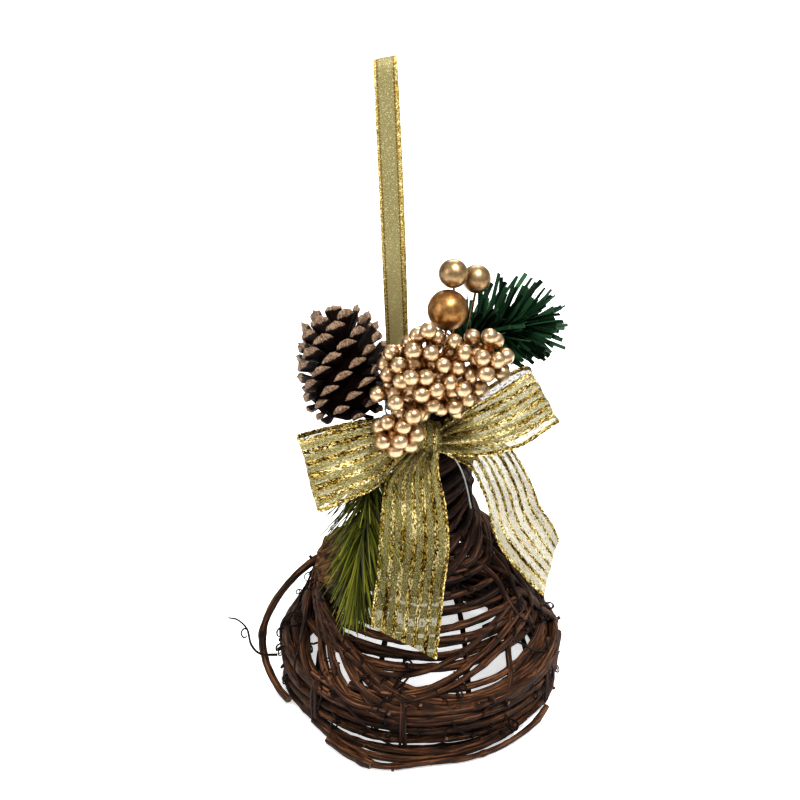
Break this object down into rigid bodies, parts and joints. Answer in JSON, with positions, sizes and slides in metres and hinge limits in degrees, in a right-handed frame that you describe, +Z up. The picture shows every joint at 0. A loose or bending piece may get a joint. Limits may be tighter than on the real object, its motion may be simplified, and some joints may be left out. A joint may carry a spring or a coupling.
{
  "type": "christmas bell ornament",
  "caption": "Grapevine bell with a wound neck, ribbon hanging loop, sheer gold bow, pinecone, gold berries, balls and green sprigs.",
  "frame": {"origin": "on the bell's axis, in the plane that its rim rests on", "axes": "+Z up along the bell towards the hanging loop, -Y towards the front with the bow, +X to the right seen from the front"},
  "size_m": [0.1507, 0.1353, 0.2757],
  "materials": {
    "vine_brown": "dry bark",
    "vine_dark": "dark dry bark",
    "tendril": "dry, near black",
    "twine": "dark twine",
    "hanger_ribbon": "woven metallic ribbon",
    "bow_ribbon": "sheer ribbon with metallic stripes",
    "tie_wire": "thin craft wire",
    "thread": "thin pale thread",
    "ball_bronze": "satin bronze lacquer",
    "ball_gold": "satin gold lacquer",
    "berry_gold": "glossy champagne lacquer",
    "copper_wire": "copper coloured wire",
    "pinecone": "dry cone scales with gilded tips",
    "needle_dark": "dark green foil strips",
    "needle_olive": "olive green moulded needles",
    "pod": "dry seed pod"
  },
  "bodies": {
    "bell": {"ball_large": "ball_bronze", "ball_small_left": "ball_gold", "ball_small_right": "ball_gold", "ball_stems": "tie_wire", "berries_lower": "berry_gold", "berries_main": "berry_gold", "berries_right": "berry_gold", "berry_stem_lower": "copper_wire", "berry_stem_main": "copper_wire", "berry_stem_right": "copper_wire", "bow_knot": "bow_ribbon", "bow_loop_left": "bow_ribbon", "bow_loop_right": "bow_ribbon", "bow_tail_center": "bow_ribbon", "bow_tail_right": "bow_ribbon", "bow_wire": "tie_wire", "cross_vine": "vine_dark", "crown_vine_1": "vine_dark", "crown_vine_2": "vine_dark", "crown_vine_3": "vine_dark", "crown_vine_4": "vine_dark", "crown_vine_5": "vine_dark", "crown_vine_6": "vine_dark", "curly_tendrils": "tendril", "cut_stick": "vine_dark", "dried_pod": "pod", "frame_ribs": "vine_dark", "hanger_knot": "hanger_ribbon", "hanger_tie": "tie_wire", "long_tendril": "tendril", "low_vine": "vine_dark", "neck_core": "vine_dark", "neck_thread": "thread", "neck_wrap": "vine_dark", "pick_wire": "tie_wire", "pinecone_core": "pinecone", "pinecone_scales": "pinecone", "pinecone_wire": "tie_wire", "rim_lashings": "twine", "rim_vine_1": "vine_brown", "rim_vine_2": "vine_brown", "rim_vine_3": "vine_brown", "rim_vine_4": "vine_brown", "rim_vine_5": "vine_brown", "rim_vine_6": "vine_brown", "rim_vine_7": "vine_brown", "rim_vine_8": "vine_brown", "shoulder_vine_1": "vine_brown", "shoulder_vine_2": "vine_brown", "shoulder_vine_3": "vine_brown", "shoulder_vine_4": "vine_brown", "shoulder_vine_5": "vine_brown", "shoulder_vine_6": "vine_brown", "shoulder_vine_7": "vine_brown", "sprig_lower_needles": "needle_olive", "sprig_lower_stem": "needle_olive", "sprig_upper_needles": "needle_dark", "sprig_upper_stem": "tie_wire", "stray_vine_left": "vine_dark"},
    "hanger": {"hanger_loop": "hanger_ribbon"}
  },
  "joints": [
    {"name": "hanger_swing", "type": "hinge", "parent": "bell", "child": "hanger", "pos_m": [-0.0098, 0, 0.151], "axis": [1, 0, 0], "range_deg": [-85, 10]}
  ]
}
